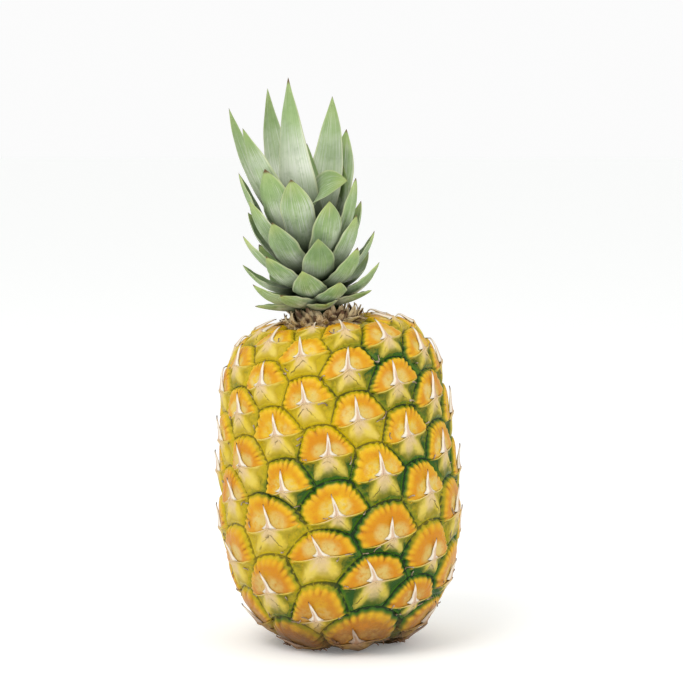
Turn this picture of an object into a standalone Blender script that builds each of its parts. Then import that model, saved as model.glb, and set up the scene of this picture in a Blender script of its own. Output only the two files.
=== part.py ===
"""A whole pineapple standing on its foot: the fruit with its eyes and dry bract spines, the cut
stalk in its foot, the dried bracts of its neck, and its leafy crown. Metres, +Z up; the fruit's
front faces -Y. The origin is the centre of the cut stalk's end, on the surface it stands on."""

import math
import random

import bmesh
import bpy
import numpy as np
from mathutils import Matrix, Vector

MM = 0.001

# The plain barrel, measured at the floor of the grooves between the eyes
BARREL_RADIUS = 59.5 * MM
WAIST_HEIGHT = 78.0 * MM
WAIST_TO_TOP = 88.0 * MM
WAIST_TO_FOOT = 81.0 * MM
TOP_SQUARENESS = 5.0
FOOT_SQUARENESS = 2.35
TOP_TAPER = 0.10
LEAN_AT_NECK = math.radians(6.0)
NECK_HEIGHT = 170.0 * MM

# The spirals of eyes: whorls of three, each turned against the one above it
EYES_A_WHORL = 3
WHORL_TURN = math.radians(72.74)
FRONT_EYE_ANGLE = math.radians(-0.3)
FRONT_EYE_ALONG = 113.0 * MM
WHORL_STEP_AT_FOOT = 8.31 * MM
WHORL_STEP_LOSS = 0.0261
SPIRAL_SLIPS = [math.radians(slip) for slip in (-0.6, -6.0, 3.1, -4.3, 12.8, 0.3)]
LOWEST_EYE_ALONG = 27.0 * MM
HIGHEST_EYE_GAP = 28.0 * MM
BLANK_RING_RADIUS = 14.0 * MM
BLANKS_A_RING = 8

# One eye: a raised shield, with its dry bract tip standing off it as a spine
SHIELD_HEIGHT = 3.0 * MM
SHIELD_RADIUS_AT_FULL_HEIGHT = 13.0 * MM
SHIELD_BRINK = 0.84
SHIELD_DISH = 0.5
BRINK_RISE = 0.72
FAN_SHARE = 0.14
SPINE_REACH = 9.5 * MM
SPINE_STANDOFF = 2.6 * MM
# The spine's root, as points across and over the eye's middle
SPINE_ROOT = ((2.1 * MM, 0.0), (0.0, 1.0 * MM), (-2.1 * MM, 0.0), (0.0, -2.6 * MM))

# The cut stalk and its socket
STALK_RADIUS = 13.0 * MM
STALK_LENGTH = 7.0 * MM
STALK_CHAMFER = 0.6 * MM
STALK_SIDES = 28
FIT_GAP = 0.5 * MM
SOCKET_SIDES = 52

# The neck of dried bracts between the fruit and the crown
NECK_SHIFT = -3.0 * MM
NECK_RADIUS = 18.5 * MM
NECK_SOCKET_DEPTH = 4.0 * MM
NECK_FLARE_HEIGHT = 1.4 * MM
NECK_TOP_HEIGHT = 3.6 * MM
NECK_SHOULDER = 2.4 * MM
NECK_BRACTS = 26
BRACT_REACH = 4.0 * MM
BRACT_LIFT = 2.4 * MM
BRACT_THICKNESS = 0.8 * MM
SHORTEST_BRACT = 0.55

# The crown: a short stem with leaves in one spiral, short and spread below, tall and upright above
CROWN_LEAN = math.radians(8.5)
CROWN_GAP = 0.5 * MM
LEAF_TURN = math.radians(137.1)
FIRST_LEAF_ANGLE = math.radians(8.5)
LOWER_LEAVES = 37
LOWEST_TIP = 7.5 * MM
LEAF_TIP_RISE = 1.23 * MM
LEAF_TIP_QUICKENING = 0.02 * MM
LOWEST_ROOT = 2.8 * MM
LEAF_ROOT_RISE = 0.72 * MM
LEAF_REACH = 31.0 * MM
LEAF_REACH_SWELL = 5.0 * MM
LEAVES_TO_END_OF_SWELL = 27
LOWER_LEAF_WIDTH = 17.0 * MM
LOWER_LEAF_TAPER = 17.0 * MM
LEAF_BOW = 0.22
LEAVES_TO_FULL_BOW = 10
LEAF_BOW_LOSS = 0.003
LEAF_FULLNESS = 2.1
# The heart's leaves: angle round the stem in degrees, then height of tip, reach, width and length
# of taper in millimetres, bow as a share of the length, and twist in degrees
HEART_LEAVES = (
    (-42, 79, 24, 20, 16, 0.12, 0),
    (165, 88, 24, 18, 60, 0.12, 0),
    (52, 67, 31, 24, 17, -0.28, 60),
    (-58, 101, 28.5, 20, 52, 0.04, 25),
    (140, 92, 43, 19, 45, 0.06, 45),
    (-112, 112, 33, 17, 60, 0.08, -20),
    (-150, 119, 19, 18, 62, 0.12, 0),
    (147, 110, 42, 20, 60, 0.06, 25),
    (-25, 123, -5, 24, 90, 0.07, 0),
)
LEAF_CHANNEL = 0.34
LEAF_EDGE_THICKNESS = 0.7 * MM
LEAF_THICKNESS_AT_ROOT = 2.8 * MM
LEAF_THICKNESS_LOSS = 1.7 * MM
LEAF_STATIONS = (0.0, 0.25, 0.45, 0.62, 0.77, 0.9)
LEAF_ACROSS = (-1.0, -0.55, 0.0, 0.55, 1.0)
LEAF_ROOT_DEPTH = 0.4
LEAF_SWAY = math.radians(4.0)
LEAF_TIP_SWAY = 1.5 * MM
STEM_RADIUS = 12.5 * MM
STEM_HEIGHT = 40.0 * MM
STEM_SIDES = 14
STEM_TAPER = 0.5
SEED = 11

COLOURS = {
    "fruit": (0.86, 0.58, 0.10, 1.0, 0.45),
    "stalk": (0.62, 0.50, 0.32, 1.0, 0.85),
    "neck_bracts": (0.36, 0.22, 0.14, 1.0, 0.9),
    "crown": (0.30, 0.42, 0.27, 1.0, 0.55),
}


def barrel_outline(steps=3000):
    """Radius, height and distance along the barrel's side from foot to top: two superellipses that
    meet at the waist, the upper one tapered a little."""
    angle = np.linspace(-math.pi / 2, math.pi / 2, steps)
    upper = angle > 0
    power = 2 / np.where(upper, TOP_SQUARENESS, FOOT_SQUARENESS)
    reach = np.where(upper, WAIST_TO_TOP, -WAIST_TO_FOOT)
    height = WAIST_HEIGHT + reach * np.abs(np.sin(angle)) ** power
    taper = 1 - TOP_TAPER * ((height - WAIST_HEIGHT) / WAIST_TO_TOP).clip(0)
    radius = BARREL_RADIUS * np.cos(angle).clip(0) ** power * taper
    steps_along = np.hypot(np.diff(radius), np.diff(height))
    along = np.concatenate([[0], np.cumsum(steps_along)])
    return radius, height, along


RADIUS, HEIGHT, ALONG = barrel_outline()
NORMAL_REACH = 0.5 * MM


def globe_latitude():
    """For each point of the outline, the latitude that maps the barrel to a globe without changing
    the shape of anything small on it, with the equator at the waist."""
    step = np.diff(ALONG) / np.maximum((RADIUS[1:] + RADIUS[:-1]) / 2, NORMAL_REACH)
    stretch = np.concatenate([[0], np.cumsum(step)])
    stretch -= np.interp(WAIST_HEIGHT, HEIGHT, stretch)
    return 2 * np.arctan(np.tanh(stretch / 2))


LATITUDE = globe_latitude()


def leaned(point):
    """Bends the upright fruit: its axis is one arc that has turned by LEAN_AT_NECK at the neck."""
    arc_radius = NECK_HEIGHT / LEAN_AT_NECK
    turn = point.z / arc_radius
    return Vector(
        (
            point.x * math.cos(turn) - arc_radius * (1 - math.cos(turn)),
            point.y,
            point.x * math.sin(turn) + arc_radius * math.sin(turn),
        )
    )


def on_fruit(angle, along, raised):
    """The point at an angle round and a distance along the barrel, raised off it, never below the foot."""
    radius = np.interp(along, ALONG, RADIUS)
    height = np.interp(along, ALONG, HEIGHT)
    ahead, behind = along + NORMAL_REACH, along - NORMAL_REACH
    out = np.interp(ahead, ALONG, HEIGHT) - np.interp(behind, ALONG, HEIGHT)
    up = np.interp(behind, ALONG, RADIUS) - np.interp(ahead, ALONG, RADIUS)
    size = math.hypot(out, up)
    radius += raised * out / size
    height += raised * up / size
    point = leaned(Vector((radius * math.sin(angle), -radius * math.cos(angle), height)))
    point.z = max(point.z, 0.0)
    return point


def whorl_places():
    """The distance along the barrel of each whorl, numbered down from the one at the front eye."""
    places = {0: FRONT_EYE_ALONG}
    for direction in (1, -1):
        along, number = FRONT_EYE_ALONG, 0
        while LOWEST_EYE_ALONG < along < ALONG[-1] - HIGHEST_EYE_GAP:
            places[number] = along
            step = WHORL_STEP_AT_FOOT - WHORL_STEP_LOSS * np.interp(along, ALONG, HEIGHT)
            along -= direction * step
            number += direction
    return places


def spiral_of(whorl, place):
    """Which of the six gentle spirals the eye at this place in its whorl belongs to."""
    if whorl % 2 == 0:
        return (place + whorl // 2) % EYES_A_WHORL
    return EYES_A_WHORL + (place + (whorl - 3) // 2) % EYES_A_WHORL


def eye_places():
    """(angle round, distance along) of every eye."""
    places = []
    for whorl, along in whorl_places().items():
        for place in range(EYES_A_WHORL):
            angle = FRONT_EYE_ANGLE + WHORL_TURN * whorl + 2 * math.pi * place / EYES_A_WHORL
            places.append((angle + SPIRAL_SLIPS[spiral_of(whorl, place)], along))
    return places


def blank_places():
    """Places near the foot and the top that hold no eye, so that the last eyes end beside them."""
    places = []
    for along in (
        np.interp(BLANK_RING_RADIUS, RADIUS[: len(RADIUS) // 2], ALONG[: len(ALONG) // 2]),
        np.interp(-BLANK_RING_RADIUS, -RADIUS[len(RADIUS) // 2 :], ALONG[len(ALONG) // 2 :]),
    ):
        for step in range(BLANKS_A_RING):
            places.append((2 * math.pi * step / BLANKS_A_RING, along))
    return places


def cell_corners(places):
    """The grooves: where three neighbouring eyes meet. Returns the corners as (angle, along), and
    for each place the numbers of its corners in order round it."""
    hull = bmesh.new()
    for angle, along in places:
        latitude = np.interp(along, ALONG, LATITUDE)
        out = math.cos(latitude)
        hull.verts.new((out * math.sin(angle), -out * math.cos(angle), math.sin(latitude)))
    hull.verts.ensure_lookup_table()
    hull.verts.index_update()
    bmesh.ops.convex_hull(hull, input=hull.verts[:])
    bmesh.ops.triangulate(hull, faces=hull.faces[:])
    hull.faces.index_update()
    hull.normal_update()
    corners = []
    for face in hull.faces:
        three = [places[vert.index] for vert in face.verts]
        angle = three[0][0] + sum(near(other, three[0][0]) - three[0][0] for other, _ in three) / 3
        corners.append((angle, sum(along for _, along in three) / 3))
    rounds = []
    for vert in hull.verts[: len(places)]:
        side = vert.normal.cross(Vector((0, 0, 1))).normalized()
        over = side.cross(vert.normal)
        faces = sorted(
            vert.link_faces,
            key=lambda face: math.atan2(
                (face.calc_center_median() - vert.co).dot(over),
                -(face.calc_center_median() - vert.co).dot(side),
            ),
        )
        rounds.append([face.index for face in faces])
    hull.free()
    return corners, rounds


def near(angle, centre):
    """The same angle, within half a turn of the centre's."""
    return centre + (angle - centre + math.pi) % (2 * math.pi) - math.pi


def shield_rise(share, up):
    """How high an eye stands at its brink or its dish, as a share of its full height, in a
    direction whose upward part is given. Its upper half is a dished fan, its lower half a bract."""
    if share == SHIELD_BRINK:
        return BRINK_RISE + FAN_SHARE * up
    return 1.0 - FAN_SHARE * up


def stitched(outer, inner):
    """Triangles between two rings of (direction, vertex) that run the same way round."""
    faces = []
    i, j = 0, 0
    outer_total, inner_total = len(outer), len(inner)
    while i < outer_total or j < inner_total:
        outer_next = outer[(i + 1) % outer_total][0] + 2 * math.pi * ((i + 1) // outer_total)
        inner_next = inner[(j + 1) % inner_total][0] + 2 * math.pi * ((j + 1) // inner_total)
        here, there = outer[i % outer_total][1], inner[j % inner_total][1]
        if j >= inner_total or (i < outer_total and outer_next <= inner_next):
            faces.append((here, outer[(i + 1) % outer_total][1], there))
            i += 1
        else:
            faces.append((here, inner[(j + 1) % inner_total][1], there))
            j += 1
    return faces


def ordered(ring):
    """A ring of (direction, vertex) with rising directions that start at the lowest one."""
    turned = [(direction % (2 * math.pi), vert) for direction, vert in ring]
    start = turned.index(min(turned, key=lambda entry: entry[0]))
    return turned[start:] + turned[:start]


def make_fruit():
    """The fruit: every eye is a raised shield with a spine, between grooves that it shares with its
    neighbours; then the foot and top are closed, and the stalk's and neck's sockets are cut."""
    eyes = eye_places()
    corners, rounds = cell_corners(eyes + blank_places())
    mesh = bmesh.new()
    shared = {}

    def groove_vertex(key, angle, along):
        if key not in shared:
            shared[key] = mesh.verts.new(on_fruit(angle, along, 0.0))
        return shared[key]

    for (angle, along), numbers in zip(eyes, rounds):
        radius = np.interp(along, ALONG, RADIUS)
        groove = []
        for here, there in zip(numbers, numbers[1:] + numbers[:1]):
            first = (near(corners[here][0], angle), corners[here][1])
            last = (near(corners[there][0], angle), corners[there][1])
            middle = ((first[0] + last[0]) / 2, (first[1] + last[1]) / 2)
            groove.append((first, groove_vertex(here, *first)))
            groove.append((middle, groove_vertex(tuple(sorted((here, there))), *middle)))
        mean_reach = np.mean([math.hypot((p[0] - angle) * radius, p[1] - along) for p, _ in groove])
        size = mean_reach / SHIELD_RADIUS_AT_FULL_HEIGHT
        full = SHIELD_HEIGHT * min(1.0, size)
        directions = [math.atan2(p[1] - along, (p[0] - angle) * radius) for p, _ in groove]
        rings = [[(direction, vert) for direction, (_, vert) in zip(directions, groove)]]
        for share in (SHIELD_BRINK, SHIELD_DISH):
            ring = []
            for direction, (place, _) in zip(directions, groove):
                raised = full * shield_rise(share, math.sin(direction))
                spot = (
                    angle + share * (place[0] - angle),
                    along + share * (place[1] - along),
                )
                ring.append((direction, mesh.verts.new(on_fruit(*spot, raised))))
            rings.append(ring)
        root = []
        for across, over in SPINE_ROOT:
            spot = (angle + across * size / radius, along + over * size)
            root.append((math.atan2(over, across), mesh.verts.new(on_fruit(*spot, full))))
        rings = [ordered(ring) for ring in (*rings, root)]
        for outer, inner in zip(rings, rings[1:]):
            for face in stitched(outer, inner):
                mesh.faces.new(face)
        tip = mesh.verts.new(on_fruit(angle, along + SPINE_REACH * size, full + SPINE_STANDOFF * size))
        for (_, first), (_, last) in zip(rings[-1], rings[-1][1:] + rings[-1][:1]):
            mesh.faces.new((first, last, tip))

    for end in (0.0, ALONG[-1]):
        centre = mesh.verts.new(on_fruit(0.0, end, 0.0))
        for edge in [e for e in mesh.edges if e.is_boundary]:
            if abs(edge.verts[0].co.z - centre.co.z) < WAIST_HEIGHT:
                loop = edge.link_loops[0]
                mesh.faces.new((loop.link_loop_next.vert, loop.vert, centre))
    bmesh.ops.recalc_face_normals(mesh, faces=mesh.faces[:])
    fruit = add_object("fruit", mesh)
    cut_socket(fruit, STALK_RADIUS + FIT_GAP, -STALK_LENGTH, STALK_LENGTH + FIT_GAP, Matrix())
    foot_of_socket = -NECK_SOCKET_DEPTH - FIT_GAP
    cut_socket(fruit, NECK_RADIUS + FIT_GAP, foot_of_socket, NECK_RADIUS, neck_frame())


def cut_socket(thing, radius, start, end, place):
    """Cuts a round socket out of an object, between two heights along the Z of a place."""
    mesh = bmesh.new()
    bmesh.ops.create_cone(
        mesh, cap_ends=True, segments=SOCKET_SIDES, radius1=radius, radius2=radius, depth=end - start
    )
    bmesh.ops.translate(mesh, verts=mesh.verts, vec=(0, 0, (start + end) / 2))
    cutter = add_object("socket", mesh)
    cutter.matrix_world = place
    cut = thing.modifiers.new("socket", "BOOLEAN")
    cut.operation = "DIFFERENCE"
    cut.object = cutter
    apply_modifiers(thing)
    bpy.data.objects.remove(cutter)


def neck_frame():
    """Where the neck stands on the leaning fruit, with its own Z along the fruit's axis there."""
    top = HEIGHT[-1]
    place = leaned(Vector((NECK_SHIFT, 0, top)))
    return Matrix.Translation(place) @ Matrix.Rotation(-top / NECK_HEIGHT * LEAN_AT_NECK, 4, "Y")


def add_object(name, mesh):
    """A named object from a bmesh, with its own material."""
    data = bpy.data.meshes.new(name)
    mesh.to_mesh(data)
    mesh.free()
    data.materials.append(material(name))
    thing = bpy.data.objects.new(name, data)
    bpy.context.scene.collection.objects.link(thing)
    return thing


def material(name):
    red, green, blue, alpha, roughness = COLOURS.get(name, COLOURS["crown"])
    made = bpy.data.materials.get(name) or bpy.data.materials.new(name)
    made.use_nodes = True
    shader = made.node_tree.nodes["Principled BSDF"]
    shader.inputs["Base Color"].default_value = (red, green, blue, alpha)
    shader.inputs["Roughness"].default_value = roughness
    shader.inputs["Metallic"].default_value = 0.0
    return made


def apply_modifiers(thing):
    """Replaces an object's mesh with the one its modifiers make."""
    graph = bpy.context.evaluated_depsgraph_get()
    finished = bpy.data.meshes.new_from_object(thing.evaluated_get(graph))
    thing.modifiers.clear()
    thing.data = finished


def make_stalk():
    """The cut stalk: a short fibrous stub, chamfered where the knife left its rim."""
    mesh = bmesh.new()
    bmesh.ops.create_cone(
        mesh,
        cap_ends=True,
        segments=STALK_SIDES,
        radius1=STALK_RADIUS,
        radius2=STALK_RADIUS,
        depth=STALK_LENGTH,
    )
    bmesh.ops.translate(mesh, verts=mesh.verts, vec=(0, 0, STALK_LENGTH / 2))
    rims = [e for e in mesh.edges if abs(e.verts[0].co.z - e.verts[1].co.z) < FIT_GAP]
    bmesh.ops.bevel(mesh, geom=rims, offset=STALK_CHAMFER, segments=1, affect="EDGES")
    add_object("stalk", mesh)


def make_neck():
    """The neck: a short plug in the fruit's top whose rim flares into pointed dried bracts, which
    are every second point of one ring."""
    draw = random.Random(SEED)
    sides = 2 * NECK_BRACTS
    points = [draw.uniform(SHORTEST_BRACT, 1.0) if step % 2 else 0.0 for step in range(sides)]
    rings = (
        (NECK_RADIUS, -NECK_SOCKET_DEPTH, 0.0, 0.0),
        (NECK_RADIUS, NECK_FLARE_HEIGHT, 0.0, 0.0),
        (NECK_RADIUS, NECK_FLARE_HEIGHT + BRACT_THICKNESS, BRACT_REACH, BRACT_LIFT),
        (NECK_RADIUS - NECK_SHOULDER, NECK_TOP_HEIGHT, 0.0, 0.0),
    )
    mesh = bmesh.new()
    loops = []
    for radius, height, reach, lift in rings:
        loop = []
        for step, point in enumerate(points):
            angle = 2 * math.pi * step / sides
            out = radius + reach * point
            up = height + lift * point
            loop.append(mesh.verts.new((out * math.sin(angle), -out * math.cos(angle), up)))
        loops.append(loop)
    foot = mesh.verts.new((0, 0, -NECK_SOCKET_DEPTH))
    top = mesh.verts.new((0, 0, NECK_TOP_HEIGHT))
    for step in range(sides):
        after = (step + 1) % sides
        mesh.faces.new((foot, loops[0][after], loops[0][step]))
        mesh.faces.new((loops[-1][step], loops[-1][after], top))
        for lower, upper in zip(loops, loops[1:]):
            mesh.faces.new((lower[step], lower[after], upper[after], upper[step]))
    bmesh.ops.recalc_face_normals(mesh, faces=mesh.faces[:])
    add_object("neck_bracts", mesh).matrix_world = neck_frame()


def crown_frame():
    """The crown's own frame: its foot on top of the neck, its Z along the crown's stem."""
    lift = Matrix.Translation((0, 0, NECK_TOP_HEIGHT + CROWN_GAP))
    more = CROWN_LEAN - HEIGHT[-1] / NECK_HEIGHT * LEAN_AT_NECK
    low_side = Matrix.Translation((-STEM_RADIUS, 0, 0))
    tilt = low_side @ Matrix.Rotation(-more, 4, "Y") @ low_side.inverted()
    return neck_frame() @ lift @ tilt


def leaf_plan(number, draw):
    """Where one leaf goes: its angle round the stem, the height of its root, the height and reach
    of its tip, its width, the length over which it tapers, how far it bows out and its twist."""
    if number < LOWER_LEAVES:
        angle = FIRST_LEAF_ANGLE + LEAF_TURN * number + LEAF_SWAY * draw.uniform(-1, 1)
        tip = LOWEST_TIP + (LEAF_TIP_RISE + LEAF_TIP_QUICKENING * number) * number
        tip += LEAF_TIP_SWAY * draw.uniform(-1, 1)
        swell = math.sin(math.pi * min(1.0, number / LEAVES_TO_END_OF_SWELL))
        reach = LEAF_REACH + LEAF_REACH_SWELL * swell + LEAF_TIP_SWAY * draw.uniform(-1, 1)
        width, taper = LOWER_LEAF_WIDTH, LOWER_LEAF_TAPER
        bow = LEAF_BOW * min(1.0, number / LEAVES_TO_FULL_BOW) - LEAF_BOW_LOSS * number
        twist = 0.0
    else:
        turn, *sizes, bow, twist = HEART_LEAVES[number - LOWER_LEAVES]
        angle, twist = math.radians(turn), math.radians(twist)
        tip, reach, width, taper = (size * MM for size in sizes)
    return {
        "angle": angle,
        "root": LOWEST_ROOT + LEAF_ROOT_RISE * number,
        "bow": bow,
        "twist": twist,
        "tip": tip,
        "reach": reach,
        "width": width,
        "taper": taper,
    }


def make_leaf(plan, name):
    """One thick channelled leaf, hollow side towards the stem, as a closed solid: rings of points
    along a curve from the root inside the stem to the tip. Both faces have the same triangles."""
    out = Vector((math.sin(plan["angle"]), -math.cos(plan["angle"]), 0))
    side = Vector((math.cos(plan["angle"]), math.sin(plan["angle"]), 0))
    up = Vector((0, 0, 1))
    stem_here = STEM_RADIUS * (1 - STEM_TAPER * plan["root"] / STEM_HEIGHT)
    root = out * stem_here * LEAF_ROOT_DEPTH + up * plan["root"]
    tip = out * plan["reach"] + up * plan["tip"]
    chord = tip - root
    outward = side.cross(chord)
    if outward.dot(out) < 0:
        outward.negate()
    bend = (root + tip) / 2 + outward * 2 * plan["bow"]
    mesh = bmesh.new()
    rings = []
    for share in LEAF_STATIONS:
        spot = root * (1 - share) ** 2 + bend * 2 * share * (1 - share) + tip * share**2
        along = ((bend - root) * (1 - share) + (tip - bend) * share).normalized()
        inward = along.cross(side)
        sine, cosine = math.sin(plan["twist"] * share), math.cos(plan["twist"] * share)
        inward, wide = inward * cosine - side * sine, side * cosine + inward * sine
        left = min(1.0, (1 - share) * chord.length / plan["taper"])
        half = plan["width"] / 2 * (1 - (1 - left) ** LEAF_FULLNESS)
        thick = LEAF_THICKNESS_AT_ROOT - LEAF_THICKNESS_LOSS * share
        inner, outer = [], []
        for across in LEAF_ACROSS:
            raised = LEAF_CHANNEL * half * across * across
            body = LEAF_EDGE_THICKNESS + (thick - LEAF_EDGE_THICKNESS) * (1 - across * across)
            place = spot + wide * half * across + inward * raised
            inner.append(mesh.verts.new(place + inward * body / 2))
            outer.append(mesh.verts.new(place - inward * body / 2))
        rings.append((inner, outer))
    point = mesh.verts.new(tip)
    last = len(LEAF_ACROSS) - 1
    for (inner, outer), (inner_next, outer_next) in zip(rings, rings[1:]):
        for step in range(last):
            for face, after in ((inner, inner_next), (outer, outer_next)):
                mesh.faces.new((face[step], face[step + 1], after[step + 1]))
                mesh.faces.new((face[step], after[step + 1], after[step]))
        for edge in (0, last):
            mesh.faces.new((inner[edge], outer[edge], outer_next[edge]))
            mesh.faces.new((inner[edge], outer_next[edge], inner_next[edge]))
    inner, outer = rings[-1]
    for step in range(last):
        mesh.faces.new((inner[step], inner[step + 1], point))
        mesh.faces.new((outer[step], outer[step + 1], point))
    for edge in (0, last):
        mesh.faces.new((inner[edge], outer[edge], point))
    inner, outer = rings[0]
    for step in range(last):
        mesh.faces.new((inner[step], inner[step + 1], outer[step + 1]))
        mesh.faces.new((inner[step], outer[step + 1], outer[step]))
    bmesh.ops.recalc_face_normals(mesh, faces=mesh.faces[:])
    return add_object(name, mesh)


def keep_outer_shell(mesh):
    """Fills the hollows that fusing sealed and drops its loose scraps: of the sheets of faces that
    meet two at an edge, only the largest stays."""
    left = set(mesh.faces)
    sheets = []
    while left:
        sheet, queue = set(), [left.pop()]
        while queue:
            face = queue.pop()
            sheet.add(face)
            for edge in face.edges:
                if len(edge.link_faces) == 2:
                    queue.extend(left.intersection(edge.link_faces))
                    left.difference_update(edge.link_faces)
        sheets.append(sheet)
    sheets.sort(key=len)
    for sheet in sheets[:-1]:
        bmesh.ops.delete(mesh, geom=list(sheet), context="FACES")


def make_crown():
    """The crown: its tapering stem and all its leaves fused into one leafy solid."""
    mesh = bmesh.new()
    bmesh.ops.create_cone(
        mesh,
        cap_ends=True,
        segments=STEM_SIDES,
        radius1=STEM_RADIUS,
        radius2=STEM_RADIUS * (1 - STEM_TAPER),
        depth=STEM_HEIGHT,
    )
    bmesh.ops.translate(mesh, verts=mesh.verts, vec=(0, 0, STEM_HEIGHT / 2))
    crown = add_object("crown", mesh)
    leaves = bpy.data.collections.new("leaves")
    bpy.context.scene.collection.children.link(leaves)
    draw = random.Random(SEED)
    for number in range(LOWER_LEAVES + len(HEART_LEAVES)):
        leaf = make_leaf(leaf_plan(number, draw), f"leaf_{number:02d}")
        bpy.context.scene.collection.objects.unlink(leaf)
        leaves.objects.link(leaf)
    join = crown.modifiers.new("leaves", "BOOLEAN")
    join.operation = "UNION"
    join.operand_type = "COLLECTION"
    join.collection = leaves
    join.solver = "MANIFOLD"
    apply_modifiers(crown)
    for leaf in list(leaves.objects):
        bpy.data.objects.remove(leaf)
    bpy.data.collections.remove(leaves)
    fused = bmesh.new()
    fused.from_mesh(crown.data)
    keep_outer_shell(fused)
    bmesh.ops.triangulate(fused, faces=fused.faces[:])
    fused.to_mesh(crown.data)
    fused.free()
    crown.matrix_world = crown_frame()


def main():
    for thing in list(bpy.data.objects):
        bpy.data.objects.remove(thing)
    make_fruit()
    make_stalk()
    make_neck()
    make_crown()


main()
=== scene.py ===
"""A whole ripe pineapple, dressed round its solids: rind, bracts with their spines, cut stalk, dried
neck and leafy crown, on a pale floor in soft studio light. Metres, +Z up, front facing -Y."""

import math
import random
from functools import partial

import bmesh
import bpy
import numpy as np
from mathutils import Matrix, Vector


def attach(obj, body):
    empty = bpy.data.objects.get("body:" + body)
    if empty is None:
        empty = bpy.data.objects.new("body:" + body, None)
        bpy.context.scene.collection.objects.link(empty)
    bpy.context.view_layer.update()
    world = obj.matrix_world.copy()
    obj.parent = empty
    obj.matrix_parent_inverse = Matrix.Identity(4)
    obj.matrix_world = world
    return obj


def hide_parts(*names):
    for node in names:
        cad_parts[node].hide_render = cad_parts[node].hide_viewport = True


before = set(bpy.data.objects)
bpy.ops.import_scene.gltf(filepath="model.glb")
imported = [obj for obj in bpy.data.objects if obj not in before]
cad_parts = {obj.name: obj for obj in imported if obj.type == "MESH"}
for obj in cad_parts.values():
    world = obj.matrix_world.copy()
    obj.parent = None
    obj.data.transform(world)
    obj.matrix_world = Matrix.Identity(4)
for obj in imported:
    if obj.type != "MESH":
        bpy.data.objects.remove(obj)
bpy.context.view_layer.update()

MM = 0.001

# The rind: the fruit's skin. Its 96 eyes grow in whorls of three, each a plump fan with a frilled
# arch, parted by grooves. It is one waxy skin, closed at the foot round the stalk and at the top
# round the neck.

BARREL_RADIUS = 59.5 * MM
WAIST_HEIGHT = 78.0 * MM
WAIST_TO_TOP = 88.0 * MM
WAIST_TO_FOOT = 81.0 * MM
TOP_SQUARENESS = 5.0
FOOT_SQUARENESS = 2.35
TOP_TAPER = 0.10
LEAN_AT_NECK = math.radians(6.0)
NECK_HEIGHT = 170.0 * MM
NORMAL_REACH = 0.5 * MM

EYES_A_WHORL = 3
WHORL_TURN = math.radians(72.74)
FRONT_EYE_ANGLE = math.radians(-0.3)
FRONT_EYE_ALONG = 113.0 * MM
WHORL_STEP_AT_FOOT = 8.31 * MM
WHORL_STEP_LOSS = 0.0261
SPIRAL_SLIPS = [math.radians(slip) for slip in (-0.6, -6.0, 3.1, -4.3, 12.8, 0.3)]
LOWEST_EYE_ALONG = 27.0 * MM
HIGHEST_EYE_GAP = 28.0 * MM
BLANK_RING_RADIUS = 14.0 * MM
BLANKS_A_RING = 8

EYE_HEIGHT = 3.0 * MM
EYE_RADIUS_AT_FULL_HEIGHT = 13.0 * MM
GROOVE_ARCH = 0.10
GROOVE_STEPS = 18
EYE_RINGS = np.array([0.0, 0.2, 0.4, 0.58, 0.72, 0.82, 0.885, 0.945, 1.0])
EYE_SQUATNESS = 0.9
CORNER_REACH = 1.2
FRILLS = 26
FRILL_HUB = -0.05
FRILL_BITE = 0.07
WING_TILT = 0.175
WING_DROOP = 0.035
END_RINGS = np.array([0.0, 0.12, 0.3, 0.5, 0.7, 0.88, 1.0])
END_EYE_SPOT = (0.4, -1.0, 0.93)
SOCKET_RADIUS = 13.5 * MM
SOCKET_DEPTH = 7.5 * MM
NECK_SHIFT = -3.0 * MM
NECK_SOCKET_RADIUS = 19.0 * MM
NECK_SOCKET_DEPTH = 4.5 * MM
SEED = 11


def barrel_outline(steps=3000):
    """Two superellipses that meet at the waist: height = waist + reach * |sin a|^p and radius =
    R * cos(a)^p, with the upper one tapered. Returns radius, height and the length along them."""
    angle = np.linspace(-math.pi / 2, math.pi / 2, steps)
    upper = angle > 0
    power = 2 / np.where(upper, TOP_SQUARENESS, FOOT_SQUARENESS)
    reach = np.where(upper, WAIST_TO_TOP, -WAIST_TO_FOOT)
    height = WAIST_HEIGHT + reach * np.abs(np.sin(angle)) ** power
    taper = 1 - TOP_TAPER * ((height - WAIST_HEIGHT) / WAIST_TO_TOP).clip(0)
    radius = BARREL_RADIUS * np.cos(angle).clip(0) ** power * taper
    along = np.concatenate([[0], np.cumsum(np.hypot(np.diff(radius), np.diff(height)))])
    return radius, height, along


RADIUS, HEIGHT, ALONG = barrel_outline()
LEAN_AT_TOP = HEIGHT[-1] / NECK_HEIGHT * LEAN_AT_NECK


def leaned(points):
    """Bends upright points: the fruit's axis is one arc, so a height z becomes a turn z / r about a
    centre at distance r to the left."""
    x, y, z = np.moveaxis(np.asarray(points, float), -1, 0)
    arc = NECK_HEIGHT / LEAN_AT_NECK
    turn = z / arc
    bent_x = x * np.cos(turn) - arc * (1 - np.cos(turn))
    return np.stack([bent_x, y, x * np.sin(turn) + arc * np.sin(turn)], -1)


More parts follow.
